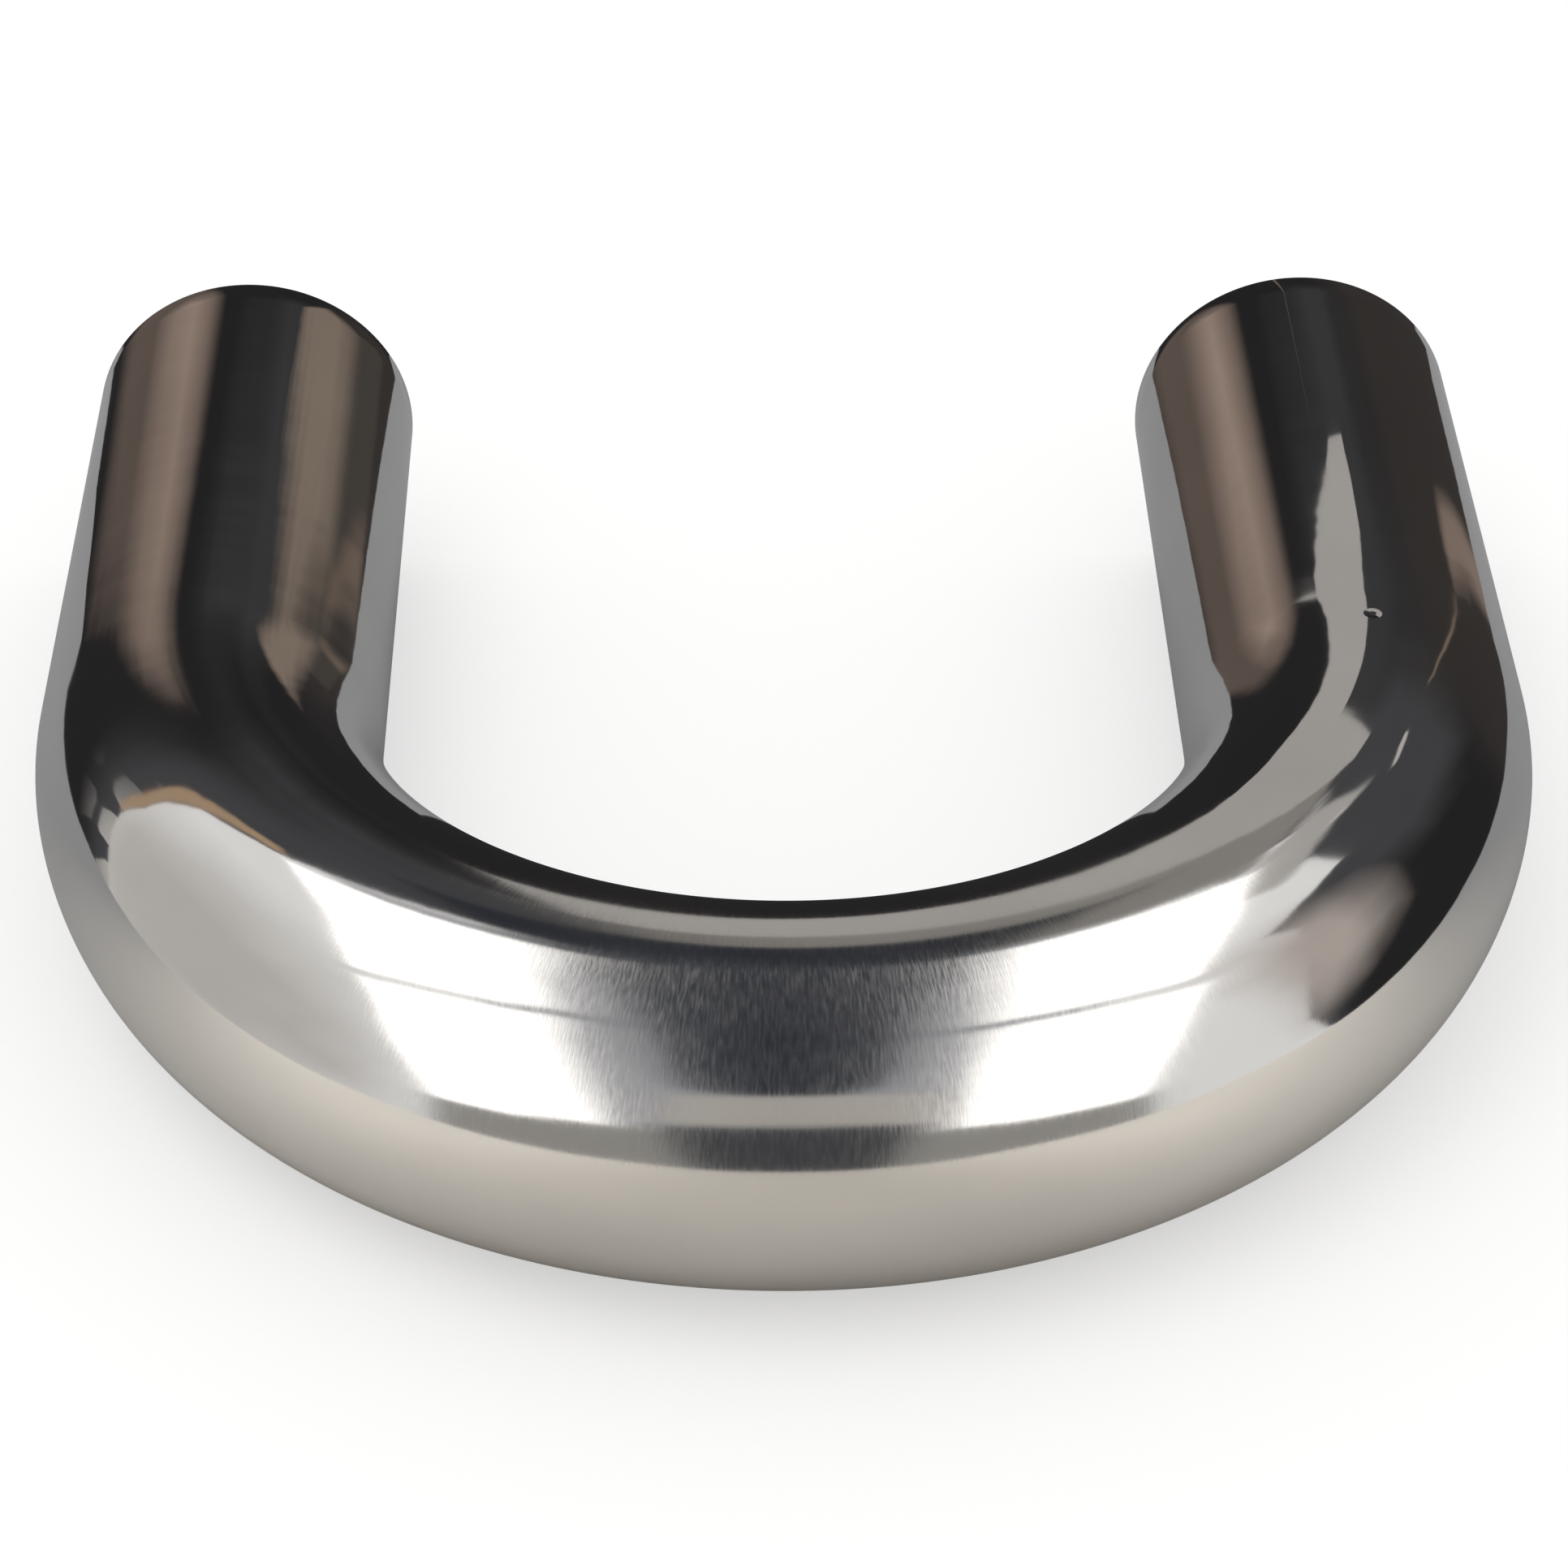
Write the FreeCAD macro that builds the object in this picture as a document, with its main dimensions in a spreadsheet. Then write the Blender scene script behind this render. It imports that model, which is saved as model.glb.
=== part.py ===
import FreeCAD, Part
import math
import os
import Sketcher

# U-shaped bend of thin stainless tube: two straight legs joined by a half circle.
# The tube is round in the legs. In the bend, where it was drawn over a mandrel, it stands a little
# taller than the legs and is a little narrower, and its wall is thinner outside and thicker inside.
# The tube lies flat, +Z up. The legs run along +Y to their open ends, and the bend bulges to -Y.
# The origin is on the floor, under the middle of the whole tube. Lengths are in millimetres.

SIZES = [
    ("tube_od", 60.0, "outside diameter of the straight legs"),
    ("wall", 1.5, "wall of the legs, and of the bend's top and bottom"),
    ("bend_radius", 100.0, "radius of the centreline in the bend"),
    ("bend_angle", 180.0, "angle that the bend turns through, in degrees"),
    ("left_leg", 110.0, "straight length of the leg on the -X side"),
    ("right_leg", 110.0, "straight length of the other leg"),
    ("easing_angle", 30.0, "angle over which the round section turns oval, in degrees"),
    ("height_gain", 3.0, "how much taller the bend's section is than the tube"),
    ("width_loss", 0.6, "how much narrower the bend's section is than the tube"),
    ("outside_thinning", 0.3, "wall lost at the outside of the bend"),
    ("inside_thickening", 0.3, "wall gained at the inside of the bend"),
    ("rim_chamfer", 0.3, "deburred edge of the cut ends, inside and outside"),
]

# The oval section is drawn at these shares of the easing angle.
EASING_SHARES = [0.0, 0.25, 0.5, 0.75, 1.0]

doc = FreeCAD.newDocument("mandrel_bend")


def make_sheet(sizes):
    """The driving dimensions, one row each: name, value, meaning."""
    sheet = doc.addObject("Spreadsheet::Sheet", "sizes")
    for row, (name, value, meaning) in enumerate(sizes, start=1):
        sheet.set(f"A{row}", name)
        sheet.set(f"B{row}", str(value))
        sheet.setAlias(f"B{row}", name)
        sheet.set(f"C{row}", meaning)
    doc.recompute()
    return sheet


sheet = make_sheet(SIZES)
tube = doc.addObject("PartDesign::Body", "bent_tube")
tube.Label = "bent_tube"
planes = {feature.Role: feature for feature in tube.Origin.OriginFeatures}


def value(formula):
    """What a formula in the sheet's names comes to."""
    return float(sheet.evalExpression(formula))


def drive(sketch, constraint, formula):
    """Adds a dimension to a sketch and ties it to the sheet."""
    index = sketch.addConstraint(constraint)
    sketch.setExpression(f"Constraints[{index}]", formula)


def smooth_share(share):
    """Eases from 0 to 1 with no kink at either end."""
    return share * share * (3.0 - 2.0 * share)


# Centreline

START, END, CENTRE = 1, 2, 3
X_AXIS, ROOT = -1, (-1, 1)
LEFT_LINE, EASE_IN, STEADY, EASE_OUT, RIGHT_LINE = range(5)


def sheet_names(formula):
    """The same formula as an expression outside the sheet."""
    for name, _, _ in SIZES:
        formula = formula.replace(name, f"sizes.{name}")
    return formula


def draw_centreline():
    """Left leg, three arcs about the body's origin, right leg, in the plane of the bend."""
    sketch = tube.newObject("Sketcher::SketchObject", "centreline")
    sketch.AttachmentSupport = [(planes["XY_Plane"], "")]
    sketch.MapMode = "FlatFace"
    radius = value("bend_radius")
    turn = math.radians(value("bend_angle"))
    easing = math.radians(value("easing_angle"))
    centre = FreeCAD.Vector(0, 0, 0)
    circle = Part.Circle(centre, FreeCAD.Vector(0, 0, 1), radius)
    left_foot = FreeCAD.Vector(-radius, 0, 0)
    right_foot = FreeCAD.Vector(-radius * math.cos(turn), -radius * math.sin(turn), 0)
    right_way = FreeCAD.Vector(math.sin(turn), -math.cos(turn), 0)
    left_tip = left_foot + FreeCAD.Vector(0, value("left_leg"), 0)
    sketch.addGeometry(Part.LineSegment(left_tip, left_foot))
    sketch.addGeometry(Part.ArcOfCircle(circle, math.pi, math.pi + easing))
    sketch.addGeometry(Part.ArcOfCircle(circle, math.pi + easing, math.pi + turn - easing))
    sketch.addGeometry(Part.ArcOfCircle(circle, math.pi + turn - easing, math.pi + turn))
    sketch.addGeometry(Part.LineSegment(right_foot, right_foot + right_way * value("right_leg")))
    for arc in (EASE_IN, STEADY, EASE_OUT):
        sketch.addConstraint(Sketcher.Constraint("Coincident", arc, CENTRE, *ROOT))
    sketch.addConstraint(Sketcher.Constraint("PointOnObject", EASE_IN, START, X_AXIS))
    sketch.addConstraint(Sketcher.Constraint("Tangent", LEFT_LINE, END, EASE_IN, START))
    sketch.addConstraint(Sketcher.Constraint("Coincident", EASE_IN, END, STEADY, START))
    sketch.addConstraint(Sketcher.Constraint("Coincident", STEADY, END, EASE_OUT, START))
    sketch.addConstraint(Sketcher.Constraint("Tangent", EASE_OUT, END, RIGHT_LINE, START))
    drive(sketch, Sketcher.Constraint("Radius", EASE_IN, radius), "sizes.bend_radius")
    drive(sketch, Sketcher.Constraint("Angle", EASE_IN, easing), "sizes.easing_angle")
    drive(sketch, Sketcher.Constraint("Angle", STEADY, turn - 2 * easing),
          "sizes.bend_angle - 2 * sizes.easing_angle")
    drive(sketch, Sketcher.Constraint("Angle", EASE_OUT, easing), "sizes.easing_angle")
    drive(sketch, Sketcher.Constraint("Distance", LEFT_LINE, value("left_leg")), "sizes.left_leg")
    drive(sketch, Sketcher.Constraint("Distance", RIGHT_LINE, value("right_leg")), "sizes.right_leg")
    doc.recompute()
    return sketch


# Sections across the centreline

def draw_section(name, angle, height, width, centre, is_round):
    """A circle or an upright ellipse, in a plane turned about the bend's axis by angle."""
    sketch = tube.newObject("Sketcher::SketchObject", name)
    sketch.AttachmentSupport = [(planes["XZ_Plane"], "")]
    sketch.MapMode = "FlatFace"
    turn = FreeCAD.Rotation(FreeCAD.Vector(0, 1, 0), value(angle))
    sketch.AttachmentOffset = FreeCAD.Placement(FreeCAD.Vector(0, 0, 0), turn)
    if value(angle) > 0:
        sketch.setExpression("AttachmentOffset.Rotation.Angle", sheet_names(angle))
    middle = FreeCAD.Vector(-value(centre), 0, 0)
    top = middle + FreeCAD.Vector(0, value(height) / 2, 0)
    side = middle + FreeCAD.Vector(value(width) / 2, 0, 0)
    if is_round:
        sketch.addGeometry(Part.Circle(middle, FreeCAD.Vector(0, 0, 1), value(height) / 2))
        drive(sketch, Sketcher.Constraint("Diameter", 0, value(height)), sheet_names(height))
    else:
        sketch.addGeometry(Part.Ellipse(top, side, middle))
        sketch.exposeInternalGeometry(0)
        major, minor = 1, 2
        sketch.addConstraint(Sketcher.Constraint("Vertical", major))
        drive(sketch, Sketcher.Constraint("Distance", major, value(height)), sheet_names(height))
        drive(sketch, Sketcher.Constraint("Distance", minor, value(width)), sheet_names(width))
    sketch.addConstraint(Sketcher.Constraint("PointOnObject", 0, CENTRE, X_AXIS))
    drive(sketch, Sketcher.Constraint("DistanceX", 0, CENTRE, *ROOT, value(centre)), sheet_names(centre))
    doc.recompute()
    return sketch


def outer_formulas(share):
    """Height, width and centre of the tube's outside."""
    height = f"tube_od + height_gain * {share}"
    width = f"tube_od - width_loss * {share}"
    return height, width, "bend_radius"


def bore_formulas(share):
    """Height, width and centre of the bore, which the uneven wall moves outwards."""
    height, width, centre = outer_formulas(share)
    bore_height = f"{height} - 2 * wall"
    bore_width = f"{width} - 2 * wall + (outside_thinning - inside_thickening) * {share}"
    bore_centre = f"{centre} + (outside_thinning + inside_thickening) / 2 * {share}"
    return bore_height, bore_width, bore_centre


def draw_sections(name, formulas):
    """Sections of one skin: into the bend's steady oval, and out of it again."""
    into = [(f"easing_angle * {share}", share) for share in EASING_SHARES]
    out_of = [(f"bend_angle - easing_angle * {share}", share) for share in reversed(EASING_SHARES)]
    sections = []
    for number, (angle, share) in enumerate(into + out_of):
        height, width, centre = formulas(smooth_share(share))
        sections.append(draw_section(f"{name}_{number}", angle, height, width, centre, share == 0))
    return sections


# Sweeps

def sweep(kind, name, line, sections):
    """One stretch of a skin along one piece of the centreline, through its sections."""
    pipe = tube.newObject(f"PartDesign::{kind}Pipe", name)
    pipe.Profile = sections[0]
    pipe.Spine = (centreline, [f"Edge{line + 1}"])
    if len(sections) > 1:
        pipe.Transformation = "Multisection"
        pipe.Sections = [(section, "") for section in sections[1:]]
    doc.recompute()
    return pipe


def sweep_skin(kind, name, sections):
    """The whole tube or the whole bore: leg, easing, steady bend, easing, leg."""
    half = len(EASING_SHARES)
    sweep(kind, f"{name}_left_leg", LEFT_LINE, sections[:1])
    sweep(kind, f"{name}_ease_in", EASE_IN, sections[:half])
    sweep(kind, f"{name}_steady_bend", STEADY, sections[half - 1:half])
    sweep(kind, f"{name}_ease_out", EASE_OUT, sections[half:])
    return sweep(kind, f"{name}_right_leg", RIGHT_LINE, sections[-1:])


def swept_volume(formulas):
    """Section times length of centreline, with the oval's area eased in and out."""
    def area(share):
        height, width, _ = formulas(share)
        return math.pi / 4 * value(height) * value(width)

    legs = area(0.0) * (value("left_leg") + value("right_leg"))
    easing = math.radians(value("easing_angle"))
    steady = math.radians(value("bend_angle")) - 2 * easing
    steps = 60
    eased = sum(area(smooth_share((step + 0.5) / steps)) for step in range(steps)) / steps
    eased_radius = value(formulas(0.5)[2])
    steady_radius = value(formulas(1.0)[2])
    return legs + 2 * easing * eased_radius * eased + steady * steady_radius * area(1.0)


centreline = draw_centreline()
outer_sections = draw_sections("outer_section", outer_formulas)
bore_sections = draw_sections("bore_section", bore_formulas)
blank = sweep_skin("Additive", "outer", outer_sections)
hollow = sweep_skin("Subtractive", "bore", bore_sections)

VOLUME_TOLERANCE = 0.002
blank_volume = swept_volume(outer_formulas)
bore_volume = swept_volume(bore_formulas)
assert abs(blank.Shape.Volume - blank_volume) < VOLUME_TOLERANCE * blank_volume, "blank"
assert abs(hollow.Shape.Volume - (blank_volume - bore_volume)) < VOLUME_TOLERANCE * blank_volume, "bore"


# Deburred rims

def rim_edges(shape):
    """The circles, inside and outside, of the two cut ends."""
    shape_lines = centreline.Shape.Edges
    tips = [shape_lines[LEFT_LINE].Vertexes[0].Point, shape_lines[RIGHT_LINE].Vertexes[-1].Point]
    names = []
    for number, edge in enumerate(shape.Edges, start=1):
        is_circle = isinstance(edge.Curve, Part.Circle)
        if is_circle and any(edge.Curve.Center.isEqual(tip, 1e-3) for tip in tips):
            names.append(f"Edge{number}")
    return names


rims = tube.newObject("PartDesign::Chamfer", "deburred_rims")
rims.Base = (hollow, rim_edges(hollow.Shape))
rims.setExpression("Size", "sizes.rim_chamfer")
tube.Tip = rims

# The bend's underside is on the floor, and the middle of the whole length is over the origin.
reach = "sizes.bend_radius + (sizes.tube_od - sizes.width_loss) / 2"
longest_leg = "max(sizes.left_leg; sizes.right_leg)"
tube.setExpression("Placement.Base.y", f"({reach} - {longest_leg}) / 2")
tube.setExpression("Placement.Base.z", "(sizes.tube_od + sizes.height_gain) / 2")
doc.recompute()

for item in doc.Objects:
    assert not {"Invalid", "Error"} & set(item.State), f"{item.Name} failed"
assert not tube.Shape.isNull() and tube.Shape.isValid(), "bent_tube has no valid shape"
assert len(tube.Shape.Solids) == 1, "bent_tube is not one solid"

os.makedirs("parts", exist_ok=True)
tube.Shape.exportStep(f"parts/{tube.Label}.step")
print(f"{tube.Label}: volume {tube.Shape.Volume:.1f}, area {tube.Shape.Area:.1f}")
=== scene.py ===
import math

import bmesh
import bpy
from mathutils import Matrix, Vector


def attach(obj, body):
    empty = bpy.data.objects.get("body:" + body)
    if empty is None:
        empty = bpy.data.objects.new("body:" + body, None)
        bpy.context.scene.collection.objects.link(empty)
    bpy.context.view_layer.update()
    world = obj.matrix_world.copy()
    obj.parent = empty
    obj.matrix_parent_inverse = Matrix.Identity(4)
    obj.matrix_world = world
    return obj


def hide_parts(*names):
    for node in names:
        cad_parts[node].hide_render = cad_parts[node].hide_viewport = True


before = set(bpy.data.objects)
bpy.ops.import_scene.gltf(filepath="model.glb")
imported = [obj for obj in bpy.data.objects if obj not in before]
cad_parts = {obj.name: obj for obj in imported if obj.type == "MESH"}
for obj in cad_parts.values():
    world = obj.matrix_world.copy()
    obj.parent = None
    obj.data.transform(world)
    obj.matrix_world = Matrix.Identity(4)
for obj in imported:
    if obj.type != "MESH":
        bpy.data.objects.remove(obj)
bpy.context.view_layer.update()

scene = bpy.context.scene


# Camera
# It looks down on the bend from 0.84 m away, at 35 degrees, through a long lens that shows the
# whole tube. Its place and its slight roll were fitted to the tube's outline.

camera_place = Vector((-0.012767, -0.687943, 0.511105))
camera_target = Vector((-0.000228, -0.004232, 0.0315))
camera_roll = math.radians(0.119)
camera_data = bpy.data.cameras.new("photo_camera")
camera_data.sensor_width = 36.0
camera_data.lens = 110.99
camera_data.clip_start = 0.02
camera_data.clip_end = 50.0
camera = bpy.data.objects.new("photo_camera", camera_data)
camera_turn = (camera_target - camera_place).to_track_quat("-Z", "Y").to_matrix().to_4x4()
camera.matrix_world = (
    Matrix.Translation(camera_place) @ camera_turn @ Matrix.Rotation(camera_roll, 4, "Z")
)
scene.collection.objects.link(camera)
scene.camera = camera


# Bent tube
# One length of thin stainless steel tube, drawn round a forming die into a half turn.
# The bend is a little taller than the straight legs, its wall thinner outside and thicker
# inside, and its skin is polished with fine brush lines that run round the tube.

end_y = 0.11985
bend_centre = Vector((0.0, 0.00985, 0.0315))
bend_radius = 0.100
leg_length = end_y - bend_centre.y
tube_radius = 0.030
bore_radius = 0.0285
height_gain = 0.0015
width_loss = 0.0003
wall_shift = 0.0003
easing_angle = math.radians(30)
rim_round = 0.0003
leg_rings = 20
bend_rings = 144
skin_segments = 160


def eased(share):
    """Goes from 0 to 1 with no corner at either end."""
    share = min(max(share, 0.0), 1.0)
    return share * share * (3 - 2 * share)


def place_on_tube(point):
    """Gives a point's turn round the bend, way up a leg, way out, and the tube's middle there."""
    turn = math.atan2(bend_centre.y - point.y, -point.x)
    if point.y > bend_centre.y:
        turn = 0.0 if point.x < 0 else math.pi
    up_leg = max(point.y - bend_centre.y, 0.0)
    outward = Vector((-math.cos(turn), -math.sin(turn), 0.0))
    middle = bend_centre + outward * bend_radius + Vector((0.0, up_leg, 0.0))
    return turn, up_leg, outward, middle


tube_mesh = bmesh.new()
left_end = Vector((-bend_radius, end_y, bend_centre.z))
bmesh.ops.create_circle(
    tube_mesh, cap_ends=False, radius=tube_radius, segments=skin_segments,
    matrix=Matrix.Translation(left_end) @ Matrix.Rotation(math.pi / 2, 4, "X"),
)
cut_end = bmesh.ops.extrude_edge_only(tube_mesh, edges=list(tube_mesh.edges))["geom"]
bmesh.ops.scale(
    tube_mesh, vec=Vector((1, 1, 1)) * bore_radius / tube_radius,
    space=Matrix.Translation(-left_end),
    verts=[part for part in cut_end if isinstance(part, bmesh.types.BMVert)],
)
cut_faces = list(tube_mesh.faces)


def pull_leg(front, step):
    """Draws the wall's cut face along a leg and leaves the outer skin and the bore behind it."""
    for _ in range(leg_rings):
        pulled = bmesh.ops.extrude_face_region(tube_mesh, geom=front)["geom"]
        bmesh.ops.translate(
            tube_mesh, vec=(0.0, step, 0.0),
            verts=[part for part in pulled if isinstance(part, bmesh.types.BMVert)],
        )
        if front is not cut_faces:
            bmesh.ops.delete(tube_mesh, geom=front, context="FACES")
        front = [part for part in pulled if isinstance(part, bmesh.types.BMFace)]
    return front


ring_step = leg_length / leg_rings
front = pull_leg(cut_faces, -ring_step)
turned = bmesh.ops.spin(
    tube_mesh, geom=front, cent=bend_centre, axis=(0, 0, 1), angle=math.pi, steps=bend_rings,
    use_merge=False,
)["geom_last"]
bmesh.ops.delete(tube_mesh, geom=front, context="FACES")
pull_leg([part for part in turned if isinstance(part, bmesh.types.BMFace)], ring_step)
bmesh.ops.recalc_face_normals(tube_mesh, faces=tube_mesh.faces)

# The bend's section grows taller out of the round legs, and its bore moves outwards.
wall_middle = (tube_radius + bore_radius) / 2
in_the_bore = tube_mesh.verts.layers.float.new("in_the_bore")
for vert in tube_mesh.verts:
    turn, up_leg, outward, middle = place_on_tube(vert.co)
    share = eased(min(turn, math.pi - turn) / easing_angle)
    out = (vert.co - middle).dot(outward)
    rise = vert.co.z - bend_centre.z
    outside = math.hypot(out, rise) > wall_middle
    vert[in_the_bore] = 0.0 if outside else 1.0
    radius = tube_radius if outside else bore_radius
    out = out * (radius - width_loss * share) / radius + (0.0 if outside else wall_shift * share)
    rise = rise * (radius + height_gain * share) / radius
    vert.co = middle + outward * out + Vector((0.0, 0.0, rise))

# The square cut is deburred, inside and outside.
sharp_turn = math.radians(60)
hair = 0.00001
rim_edges = [
    edge for edge in tube_mesh.edges
    if edge.calc_face_angle() > sharp_turn and min(vert.co.y for vert in edge.verts) > end_y - hair
]
bmesh.ops.bevel(
    tube_mesh, geom=rim_edges, offset=rim_round, offset_type="OFFSET", affect="EDGES", segments=2,
    profile=0.5, material=-1, clamp_overlap=True,
)

# Where each point lay before the tube was bent: along its length, and across and up its section.
before_bending = tube_mesh.verts.layers.float_vector.new("before_bending")
skin_map = tube_mesh.loops.layers.uv.new("along_and_round")
bend_length = math.pi * bend_radius
tube_length = 2 * leg_length + bend_length
round_angle = {}
for vert in tube_mesh.verts:
    turn, up_leg, outward, middle = place_on_tube(vert.co)
    out, rise = (vert.co - middle).dot(outward), vert.co.z - bend_centre.z
    past_leg = up_leg if vert.co.x > 0 else -up_leg
    along = leg_length + past_leg + bend_radius * turn
    vert[before_bending] = (along, out, rise)
    round_angle[vert] = math.atan2(out, rise)
for face in tube_mesh.faces:
    face.smooth = face.calc_center_median().y < end_y - rim_round - hair
    angles = [round_angle[loop.vert] for loop in face.loops]
    over_seam = max(angles) - min(angles) > math.pi
    for loop, angle in zip(face.loops, angles):
        if over_seam and angle < 0:
            angle += 2 * math.pi
        loop[skin_map].uv = (loop.vert[before_bending].x / tube_length, angle / (2 * math.pi))

tube_data = bpy.data.meshes.new("polished_tube")
tube_mesh.to_mesh(tube_data)
tube_mesh.free()
polished_tube = bpy.data.objects.new("polished_tube", tube_data)
scene.collection.objects.link(polished_tube)


def polished_stainless():
    """Bright stainless steel with fine brush lines that run round the tube."""
    steel = bpy.data.materials.new("polished_stainless")
    steel.use_nodes = True
    tree = steel.node_tree
    shader = tree.nodes["Principled BSDF"]
    shader.inputs["Metallic"].default_value = 1.0
    shader.inputs["Anisotropic"].default_value = 0.75

    def node(kind, **inputs):
        made = tree.nodes.new(kind)
        for name, value in inputs.items():
            made.inputs[name.replace("_", " ")].default_value = value
        return made

    def stretched_noise(scale, detail, roughness):
        """Noise on the straight tube: the scale is per metre along, across and up."""
        stretch = node("ShaderNodeMapping", Scale=scale)
        tree.links.new(place.outputs["Vector"], stretch.inputs["Vector"])
        grain = node("ShaderNodeTexNoise", Scale=1.0, Detail=detail, Roughness=roughness)
        tree.links.new(stretch.outputs["Vector"], grain.inputs["Vector"])
        return grain.outputs["Fac"]

    def ranged(value, low, high, to_low, to_high):
        """Stretches a value from one range to another, and stops it at the ends."""
        spread = node("ShaderNodeMapRange")
        spread.inputs["From Min"].default_value = low
        spread.inputs["From Max"].default_value = high
        spread.inputs["To Min"].default_value = to_low
        spread.inputs["To Max"].default_value = to_high
        tree.links.new(value, spread.inputs["Value"])
        return spread.outputs["Result"]

    place = node("ShaderNodeAttribute")
    place.attribute_name = "before_bending"
    # The brush lines are a third of a millimetre wide and a few millimetres long.
    brush = stretched_noise((3000.0, 420.0, 420.0), 3.0, 0.6)
    cloud = stretched_noise((26.0, 30.0, 30.0), 4.0, 0.55)
    ripple = stretched_noise((55.0, 18.0, 18.0), 2.0, 0.5)

    tint = node("ShaderNodeMix")
    tint.data_type = "RGBA"
    tint.inputs[6].default_value = (0.63, 0.62, 0.61, 1.0)
    tint.inputs[7].default_value = (0.69, 0.68, 0.665, 1.0)
    tree.links.new(ranged(cloud, 0.3, 0.7, 0.0, 1.0), tint.inputs["Factor"])
    tree.links.new(tint.outputs[2], shader.inputs["Base Color"])

    # The brush was strongest over the crown of the bend, and faded towards the legs.
    split = node("ShaderNodeSeparateXYZ")
    tree.links.new(place.outputs["Vector"], split.inputs["Vector"])
    from_crown = node("ShaderNodeMath")
    from_crown.operation = "SUBTRACT"
    from_crown.inputs[1].default_value = tube_length / 2
    tree.links.new(split.outputs["X"], from_crown.inputs[0])
    how_far = node("ShaderNodeMath")
    how_far.operation = "ABSOLUTE"
    tree.links.new(from_crown.outputs["Value"], how_far.inputs[0])
    fully_brushed, unbrushed = 0.030, 0.085
    brushed = ranged(how_far.outputs["Value"], fully_brushed, unbrushed, 1.0, 0.0)

    rough = node("ShaderNodeMath")
    rough.operation = "MULTIPLY_ADD"
    tree.links.new(brushed, rough.inputs[0])
    tree.links.new(ranged(brush, 0.3, 0.7, 0.06, 0.13), rough.inputs[1])
    tree.links.new(ranged(cloud, 0.35, 0.7, 0.035, 0.06), rough.inputs[2])

    # The bore keeps the dull skin of the steel strip: only the outside was polished.
    bore_mark = node("ShaderNodeAttribute")
    bore_mark.attribute_name = "in_the_bore"
    bore_skin = bore_mark.outputs["Fac"]
    bore_metallic = 0.7
    tree.links.new(ranged(bore_skin, 0.0, 1.0, 1.0, bore_metallic), shader.inputs["Metallic"])
    duller = node("ShaderNodeMath")
    duller.operation = "MULTIPLY_ADD"
    duller.inputs[1].default_value = 0.4
    tree.links.new(bore_skin, duller.inputs[0])
    tree.links.new(rough.outputs["Value"], duller.inputs[2])
    tree.links.new(duller.outputs["Value"], shader.inputs["Roughness"])

    brush_bump = node("ShaderNodeBump", Strength=1.0, Distance=0.0000055)
    tree.links.new(ranged(brushed, 0.0, 1.0, 0.15, 1.0), brush_bump.inputs["Strength"])
    tree.links.new(brush, brush_bump.inputs["Height"])
    ripple_bump = node("ShaderNodeBump", Strength=1.0, Distance=0.0001)
    tree.links.new(ripple, ripple_bump.inputs["Height"])

    def near(spot, radius):
        """1 at a spot on the straight tube, down to 0 at the radius round it."""
        apart = node("ShaderNodeVectorMath")
        apart.operation = "DISTANCE"
        tree.links.new(place.outputs["Vector"], apart.inputs[0])
        apart.inputs[1].default_value = spot
        return ranged(apart.outputs["Value"], radius * 0.4, radius, 1.0, 0.0)

    # A small dent on top of the tube, where the bend meets the right leg.
    dent_place, dent_radius = (0.4165, 0.0006, 0.030), 0.0016
    dent_bump = node("ShaderNodeBump", Strength=1.0, Distance=0.00015)
    dent_bump.invert = True
    tree.links.new(near(dent_place, dent_radius), dent_bump.inputs["Height"])
    tree.links.new(ripple_bump.outputs["Normal"], dent_bump.inputs["Normal"])
    tree.links.new(dent_bump.outputs["Normal"], brush_bump.inputs["Normal"])
    tree.links.new(brush_bump.outputs["Normal"], shader.inputs["Normal"])

    along = node("ShaderNodeTangent")
    along.direction_type = "UV_MAP"
    along.uv_map = "along_and_round"
    tree.links.new(along.outputs["Tangent"], shader.inputs["Tangent"])
    return steel


tube_data.materials.append(polished_stainless())
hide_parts("bent_tube")
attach(polished_tube, "root")


# Table
# A pale board lies under the tube. The camera sees it as white, with the tube's shadow on it.
# The steel mirrors it as cream in front, with a painted shadow that makes it a little darker in
# the middle, and painted shade that makes it grey behind.

table_outline = (
    (-0.36, 0.09), (-0.33, 0.02), (-0.29, -0.06), (-0.211, -0.215), (-0.1, -0.3), (0.004, -0.318),
    (0.151, -0.298), (0.24, -0.18), (0.285, -0.062), (0.314, 0.027), (0.292, 0.15), (0.225, 0.18),
    (0.205, 0.215), (0.2, 0.25), (0.05, 0.25), (-0.05, 0.24), (-0.17, 0.23), (-0.2, 0.21),
    (-0.27, 0.266), (-0.364, 0.378), (-0.38, 0.36), (-0.318, 0.253), (-0.34, 0.16),
)
table_mesh = bmesh.new()
table_corners = [table_mesh.verts.new((across, ahead, 0.0)) for across, ahead in table_outline]
table_mesh.faces.new(table_corners)
bmesh.ops.triangulate(table_mesh, faces=table_mesh.faces)
table_data = bpy.data.meshes.new("pale_table")
table_mesh.to_mesh(table_data)
table_mesh.free()
pale_table = bpy.data.objects.new("pale_table", table_data)
scene.collection.objects.link(pale_table)
table_stuff = bpy.data.materials.new("pale_table")
table_stuff.use_nodes = True
table_tree = table_stuff.node_tree
table_tree.nodes.clear()


def table_node(kind, **settings):
    """Adds a node to the table's material."""
    made = table_tree.nodes.new(kind)
    for name, value in settings.items():
        setattr(made, name, value)
    return made


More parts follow.
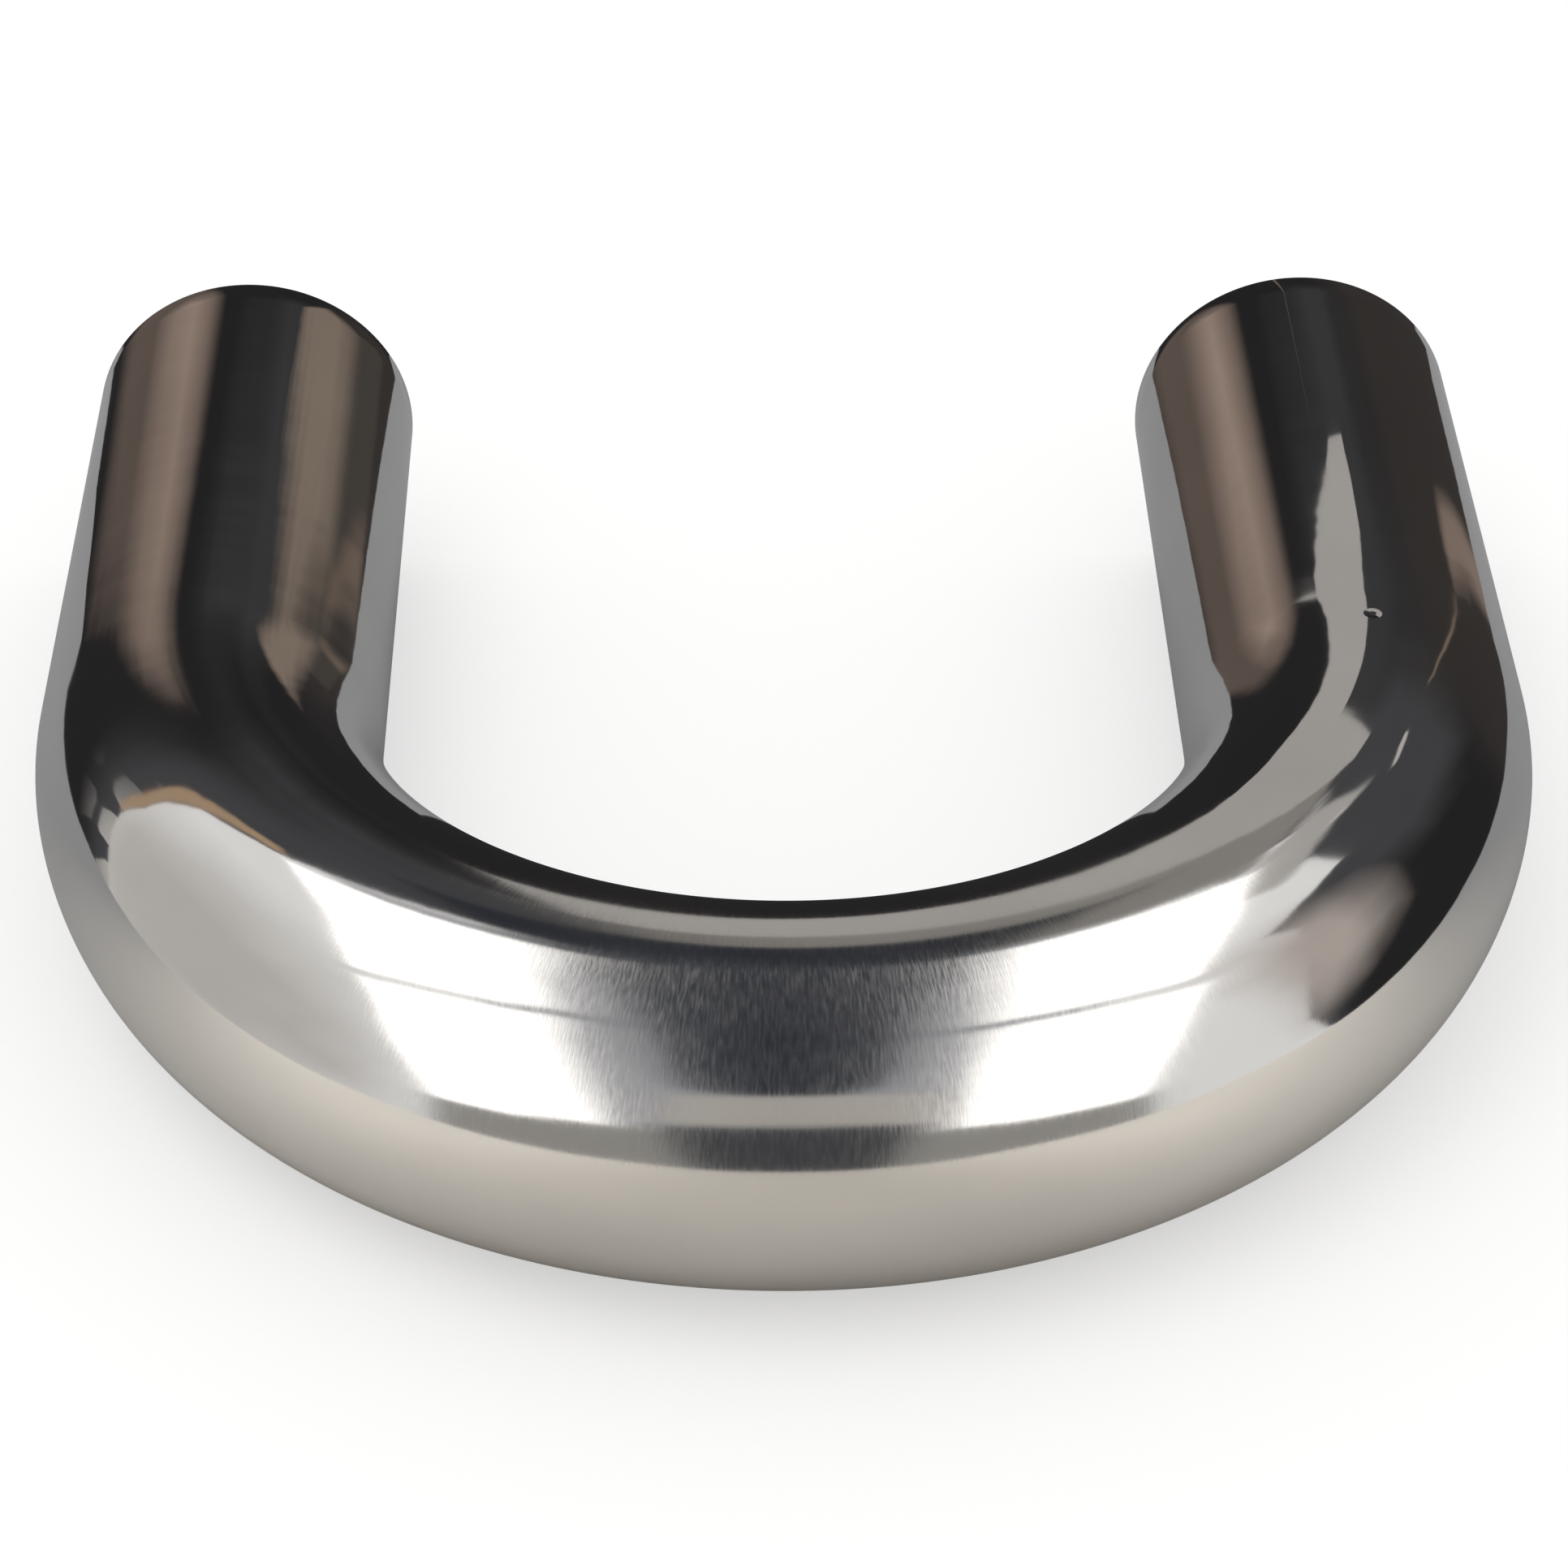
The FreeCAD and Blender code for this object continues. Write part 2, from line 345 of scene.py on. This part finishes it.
def table_fade(value, low, high):
    """Goes smoothly from 0 to 1 between two places on the table."""
    fade = table_node("ShaderNodeMapRange", interpolation_type="SMOOTHSTEP")
    fade.inputs["From Min"].default_value = low
    fade.inputs["From Max"].default_value = high
    table_tree.links.new(value, fade.inputs["Value"])
    return fade.outputs["Result"]


def table_mix(factor, colour, other):
    """Mixes two colours, of which the first may come from another mix."""
    mixed = table_node("ShaderNodeMix", data_type="RGBA")
    table_tree.links.new(factor, mixed.inputs["Factor"])
    if isinstance(colour, tuple):
        mixed.inputs[6].default_value = (*colour, 1.0)
    else:
        table_tree.links.new(colour, mixed.inputs[6])
    mixed.inputs[7].default_value = (*other, 1.0)
    return mixed.outputs[2]


table_place = table_node("ShaderNodeTexCoord")
table_split = table_node("ShaderNodeSeparateXYZ")
table_tree.links.new(table_place.outputs["Object"], table_split.inputs["Vector"])
from_middle = table_node("ShaderNodeMath", operation="ABSOLUTE")
table_tree.links.new(table_split.outputs["X"], from_middle.inputs[0])
# Painted shade: the cream is darker in the middle, as in a shadow, and grey towards the back, as
# in shade.
painted_shadow_cream = (0.62, 0.585, 0.54)
side_cream = (0.89, 0.845, 0.775)
painted_shade_grey = (0.32, 0.323, 0.33)
front_colour = table_mix(
    table_fade(from_middle.outputs["Value"], 0.02, 0.15), painted_shadow_cream, side_cream,
)
cream_and_painted_shade = table_mix(
    table_fade(table_split.outputs["Y"], -0.17, 0.05), front_colour, painted_shade_grey,
)
cream = table_node("ShaderNodeBsdfDiffuse")
table_tree.links.new(cream_and_painted_shade, cream.inputs["Color"])
white = table_node("ShaderNodeBsdfDiffuse")
white.inputs["Color"].default_value = (1.0, 1.0, 1.0, 1.0)
white_light = table_node("ShaderNodeEmission")
lit_white = table_node("ShaderNodeMixShader")
lit_white.inputs["Fac"].default_value = 0.5
table_tree.links.new(white.outputs["BSDF"], lit_white.inputs[1])
table_tree.links.new(white_light.outputs["Emission"], lit_white.inputs[2])
ray = table_node("ShaderNodeLightPath")
either = table_node("ShaderNodeMixShader")
table_out = table_node("ShaderNodeOutputMaterial")
table_tree.links.new(ray.outputs["Is Camera Ray"], either.inputs["Fac"])
table_tree.links.new(cream.outputs["BSDF"], either.inputs[1])
table_tree.links.new(lit_white.outputs["Shader"], either.inputs[2])
table_tree.links.new(either.outputs["Shader"], table_out.inputs["Surface"])
table_data.materials.append(table_stuff)


# Room
# A pale, evenly lit room stands round the table. The camera sees it as white, and the steel
# mirrors it as it is.

world = bpy.data.worlds.new("pale_world")
scene.world = world
world.use_nodes = True
world_tree = world.node_tree
sky = world_tree.nodes["Background"]
sky.inputs["Strength"].default_value = 1.0
sky_colour = world_tree.nodes.new("ShaderNodeMix")
sky_colour.data_type = "RGBA"
sky_colour.inputs[6].default_value = (0.97, 0.965, 0.955, 1.0)
sky_colour.inputs[7].default_value = (1.0, 1.0, 1.0, 1.0)
sky_ray = world_tree.nodes.new("ShaderNodeLightPath")
world_tree.links.new(sky_ray.outputs["Is Camera Ray"], sky_colour.inputs["Factor"])
world_tree.links.new(sky_colour.outputs[2], sky.inputs["Color"])


# Studio cards
# Sheets of card hang round the table for the steel alone to mirror: soft lamp fronts, walls and
# a dark room. Each fades out towards its edge over the width that its row gives, in degrees on
# the dome and in metres near the tube.

card_stuffs = {}


def card_stuff(name, colour):
    """Glows where the sheet's fade is 1, and lets the view through where it is 0."""
    if colour in card_stuffs:
        return card_stuffs[colour]
    stuff = bpy.data.materials.new(name)
    stuff.use_nodes = True
    tree = stuff.node_tree
    tree.nodes.clear()
    glow = tree.nodes.new("ShaderNodeEmission")
    glow.inputs["Color"].default_value = (*colour, 1.0)
    clear = tree.nodes.new("ShaderNodeBsdfTransparent")
    fade = tree.nodes.new("ShaderNodeAttribute")
    fade.attribute_name = "fade"
    both = tree.nodes.new("ShaderNodeMixShader")
    out = tree.nodes.new("ShaderNodeOutputMaterial")
    tree.links.new(fade.outputs["Fac"], both.inputs["Fac"])
    tree.links.new(clear.outputs["BSDF"], both.inputs[1])
    tree.links.new(glow.outputs["Emission"], both.inputs[2])
    tree.links.new(both.outputs["Shader"], out.inputs["Surface"])
    card_stuffs[colour] = stuff
    return stuff


def from_edge(point, outline):
    """How far a point is from the nearest side of an outline."""
    nearest = math.inf
    for start, end in zip(outline, outline[1:] + outline[:1]):
        side = end - start
        share = min(max((point - start).dot(side) / side.length_squared, 0.0), 1.0)
        nearest = min(nearest, (start + side * share - point).length)
    return nearest


def studio_card(name, colour, soft, outline, cell, place):
    """Cuts a sheet to its outline and into cells, fades its edge, and hangs it in its place."""
    outline = [Vector((*corner, 0.0)) for corner in outline]
    mesh = bmesh.new()
    mesh.faces.new([mesh.verts.new(corner) for corner in outline])
    for way in (Vector((1, 0, 0)), Vector((0, 1, 0))):
        reach = [corner.dot(way) for corner in outline]
        for cut in range(math.ceil(min(reach) / cell), math.floor(max(reach) / cell) + 1):
            bmesh.ops.bisect_plane(
                mesh, geom=list(mesh.verts) + list(mesh.edges) + list(mesh.faces), dist=1e-6,
                plane_co=way * cut * cell, plane_no=way,
            )
    bmesh.ops.triangulate(mesh, faces=mesh.faces)
    fade = mesh.verts.layers.float.new("fade")
    for vert in mesh.verts:
        vert[fade] = eased(from_edge(vert.co, outline) / soft) if soft else 1.0
        vert.co = place(vert.co)
    data = bpy.data.meshes.new(name)
    mesh.to_mesh(data)
    mesh.free()
    data.materials.append(card_stuff(name, colour))
    sheet = bpy.data.objects.new(name, data)
    scene.collection.objects.link(sheet)
    sheet.visible_camera = False
    sheet.visible_diffuse = False
    sheet.visible_shadow = False
    sheet.visible_transmission = False


def on_dome(far):
    """Places a sheet that is drawn in degrees from straight overhead: to the right, and ahead."""
    def place(spot):
        down, side = math.radians(spot.length), spot.normalized()
        return far * Vector((side.x * math.sin(down), side.y * math.sin(down), math.cos(down)))
    return place


# Each card hangs a little nearer than the one before, so that it covers it.
lamp_white = (2.2, 2.16, 2.1)
dark = (0.024, 0.023, 0.024)
dome_radius, card_gap = 2.6, 0.02
finest_cell, plain_cell = 1.2, 5.0
for order, (name, colour, soft, outline) in enumerate([
    ("left_wall_shade", (0.62, 0.6, 0.57), 28, [
        (-50, 42), (-36, 10), (-44, -25), (-62, -55), (-95, -75), (-125, -20), (-125, 30),
        (-105, 60), (-75, 60)
    ]),
    ("dark_room", (0.072, 0.072, 0.078), 0, [
        (-92, 33), (-76, 34.5), (-70, 34.4), (-60, 31), (-42, 30), (-30, 26), (-12, 28),
        (-3, 31), (12, 31), (26, 32), (29, 34), (35, 32), (34, 28), (37.5, 22), (47.8, 17.5),
        (49.8, -2.5), (56, -1.7), (70, -13), (80, -20.7), (88.5, -24.5), (97.6, -21), (104, -14),
        (112, -14), (114, 0), (110, 29), (99, 57), (81, 81), (57, 99), (29, 110), (0, 114),
        (-29, 110), (-57, 99), (-81, 81), (-112, 48)
    ]),
    ("dark_middle", dark, 13, [
        (-110, 30), (-96, 33), (-80, 38), (-62, 38), (-46, 37), (-32, 36), (-20, 34), (-10, 42),
        (-3, 50), (8, 50), (18, 46), (28, 50), (40, 50), (54, 44), (60, 26), (54, 10), (70, -6),
        (92, -24), (118, -20), (126, 0), (122, 32), (110, 63), (90, 90), (63, 110), (32, 122),
        (0, 126), (-32, 122), (-63, 110), (-90, 90), (-112, 58)
    ]),
    ("grey_ahead", (0.055, 0.055, 0.059), 12, [(2, 46), (2, 72), (28, 72), (28, 46)]),
    ("brown_right", (0.045, 0.04, 0.038), 14, [
        (16, 64), (32, 48), (50, 44), (74, 46), (90, 62), (74, 94), (48, 110), (22, 112),
        (14, 90)
    ]),
    ("brown_hem", (0.47, 0.33, 0.215), 0.8, [
        (-28, 29), (-32.4, 31.9), (-38.9, 34.3), (-49.4, 34.6), (-59.1, 35), (-68.2, 36.6),
        (-70.6, 34.4), (-60.3, 30.6), (-50.3, 30), (-41.9, 29.6), (-34.7, 28.2), (-29.5, 25.6)
    ]),
    ("taupe_left", (0.135, 0.105, 0.09), 5, [
        (-18, 63), (-19, 57), (-26, 51), (-36, 53), (-41, 59), (-47, 63), (-52, 68), (-56, 75),
        (-55, 82), (-51, 89), (-45, 97), (-36, 102), (-28, 98), (-21, 87), (-18, 76)
    ]),
    ("taupe_left_light", (0.42, 0.32, 0.265), 15, [
        (-17, 70), (-17, 60), (-20, 53), (-31, 50), (-40, 54), (-46, 61), (-46, 70), (-41, 78),
        (-31, 82), (-20, 79)
    ]),
    ("taupe_right", (0.55, 0.485, 0.445), 17, [
        (42, -12), (44, 6), (54, 14), (66, 17), (82, 14), (92, -2), (97, -16), (99, -32),
        (82, -32), (66, -29), (52, -24)
    ]),
    ("grey_wedge", (0.5, 0.485, 0.465), 1.5, [
        (27, 23), (26, 32), (23.5, 38.5), (24, 41.5), (28, 36.5), (33, 36), (37, 36),
        (35.5, 29.5), (38.5, 22.2), (40, 14), (33, 13)
    ]),
    ("fan", (0.3, 0.285, 0.265), 0.6, [
        (-1.4, 53), (5.7, 54), (12, 54), (18, 50), (23, 44), (24.5, 39.5), (26.1, 32.3),
        (27.7, 24), (21.6, 25), (15.3, 24), (9.4, 24), (6.7, 32), (5.3, 38.1), (1.1, 38.1),
        (-3, 39.2), (-3, 44.6), (-2.8, 53)
    ]),
    ("bright_line", (0.6, 0.57, 0.54), 0, [
        (40.4, 37.4), (38.9, 41.7), (38.3, 44.8), (39.4, 45), (40.6, 41.4), (41.2, 38.1)
    ]),
    ("orange_line", (0.26, 0.19, 0.15), 0, [
        (39.3, 52.8), (44.4, 59.9), (49.8, 68.7), (54, 74.6), (54.8, 76), (50.6, 69.9),
        (45.4, 59.9), (40.2, 53.1)
    ]),
    ("roof", (0.37, 0.375, 0.4), 3, [
        (-26, 27), (30, 25), (35, -28), (40, -80), (-40, -80), (-34, -28)
    ]),
    ("roof_dark", (0.03, 0.034, 0.044), 3, [
        (-14, 40), (13, 40), (12.5, 20), (13.5, 0), (15.5, -43), (14, -54), (8, -61), (-10, -60),
        (-16, -55), (-17, -43), (-14, 0)
    ]),
    ("front_band", (0.5, 0.475, 0.435), 1, [(-18, -58), (24, -58), (28, -75), (-24, -75)]),
    ("front_foot", (0.36, 0.35, 0.33), 1, [
        (-79, -69), (-66, -58), (-34, -73), (0, -73), (34, -73), (64, -56), (79, -67), (63, -84),
        (43, -93), (24, -102), (0, -103), (-24, -102), (-43, -95), (-64, -86)
    ]),
    ("front_dark", (0.06, 0.062, 0.07), 1.5, [
        (-24, -74), (0, -75), (24, -74), (23, -89), (22, -104), (0, -106), (-23, -104),
        (-24, -89)
    ]),
    ("left_light", lamp_white, 1, [
        (-31.5, 24.9), (-20.9, 23.2), (-10.5, 21.2), (-14, 11), (-18, 0), (-21.9, -16.3),
        (-28, -17.2), (-39.2, -13.6), (-48.3, -10.6), (-43, 0), (-38, 9)
    ]),
    ("left_light_low", lamp_white, 1, [
        (-48.5, -13), (-41.1, -15), (-29.3, -18.7), (-22.2, -19.6), (-26, -32), (-28.7, -46.3),
        (-31, -58), (-33.5, -75), (-41, -72), (-52, -69.6), (-66.8, -59.3), (-63, -48),
        (-59, -36), (-54, -26)
    ]),
    ("right_light", lamp_white, 1, [
        (10.6, 21.6), (18, 23.8), (23.6, 23.7), (29.2, 24.2), (34, 15), (39.7, 3.2), (46, -15),
        (33.2, -20), (20.6, -24.2), (17.6, -10), (14.9, 0.2), (12.6, 11)
    ]),
    ("right_light_low", lamp_white, 1, [
        (21.2, -26), (34.4, -22), (49.2, -16.9), (54, -29), (59.2, -40.3), (66.8, -61.4),
        (57, -67), (47, -72.8), (30, -77.4), (27.5, -62), (24.5, -48.3), (23, -37)
    ]),
]):
    cell = max(finest_cell, soft / 2) if soft else plain_cell
    studio_card(name, colour, soft, outline, cell, on_dome(dome_radius - card_gap * order))


def facing_front(ahead):
    """Places a sheet that is drawn in metres, to the right and up, so far ahead."""
    def place(spot):
        return Vector((spot.x, ahead, spot.y))
    return place


def facing_left(across):
    """Places a sheet that is drawn in metres, ahead and up, so far to the right."""
    def place(spot):
        return Vector((across, spot.x, spot.y))
    return place


# A few sheets stand close to the tube: behind it, in line with its right leg, and inside its bend.
near_cell = 0.1
for name, colour, soft, outline, place in [
    ("back_card", (0.475, 0.455, 0.435), 0.0, [
        (-0.042, 0.168), (-0.041, 0.135), (-0.019, 0.128), (0.004, 0.122), (0.033, 0.121),
        (0.055, 0.13), (0.065, 0.134), (0.079, 0.125), (0.091, 0.118), (0.101, 0.112),
        (0.107, 0.104), (0.116, 0.101), (0.12, 0.112), (0.122, 0.123), (0.12, 0.131),
        (0.117, 0.14), (0.115, 0.155), (0.138, 0.17), (0.174, 0.19), (0.181, 0.222),
        (0.158, 0.247), (0.115, 0.25), (0.084, 0.248), (0.055, 0.24), (0.017, 0.234),
        (-0.032, 0.231), (-0.042, 0.222)
    ], facing_front(0.13)),
    ("right_post", (0.26, 0.2, 0.165), 0.011, [
        (0.212, -0.01), (0.21, 0.06), (0.222, 0.074), (0.242, 0.072), (0.24, -0.01)
    ], facing_front(0.2)),
    ("inner_stripe", (0.27, 0.215, 0.175), 0.075, [
        (0.27, 0.07), (0.34, 0.265), (0.48, 0.315), (0.75, 0.42), (0.75, 0.12), (0.48, 0.07),
        (0.39, 0.06)
    ], facing_left(0.098)),
    ("inner_brown", (0.07, 0.062, 0.055), 0.02, [
        (0.275, -0.018), (0.275, 0.135), (0.44, 0.15), (0.48, -0.014)
    ], facing_left(0.0986)),
    ("inner_brown_light", (0.2, 0.15, 0.12), 0.025, [
        (0.35, -0.015), (0.33, 0.055), (0.317, 0.09), (0.3, 0.112), (0.28, 0.085), (0.29, -0.014)
    ], facing_left(0.0983)),
    ("crown_shade", dark, 0.0, [
        (-0.052, 0.001), (-0.057, 0.057), (0, 0.06), (0.057, 0.057), (0.052, 0.001)
    ], facing_front(-0.02)),
]:
    studio_card(name, colour, soft, outline, soft / 2 if soft else near_cell, place)


# Lamp
# One wide soft lamp hangs over the camera's left shoulder. It gives the tube its shadow on the
# table, and the steel doesn't mirror it.

lamp_data = bpy.data.lights.new("soft_lamp", "AREA")
lamp_data.shape = "DISK"
lamp_data.size = 1.2
lamp_data.energy = 5.0
lamp = bpy.data.objects.new("soft_lamp", lamp_data)
lamp.location = (-0.6, -0.5, 1.8)
lamp.rotation_euler = (-lamp.location).to_track_quat("-Z", "Y").to_euler()
lamp.visible_glossy = False
scene.collection.objects.link(lamp)

scene.view_settings.view_transform = "Standard"
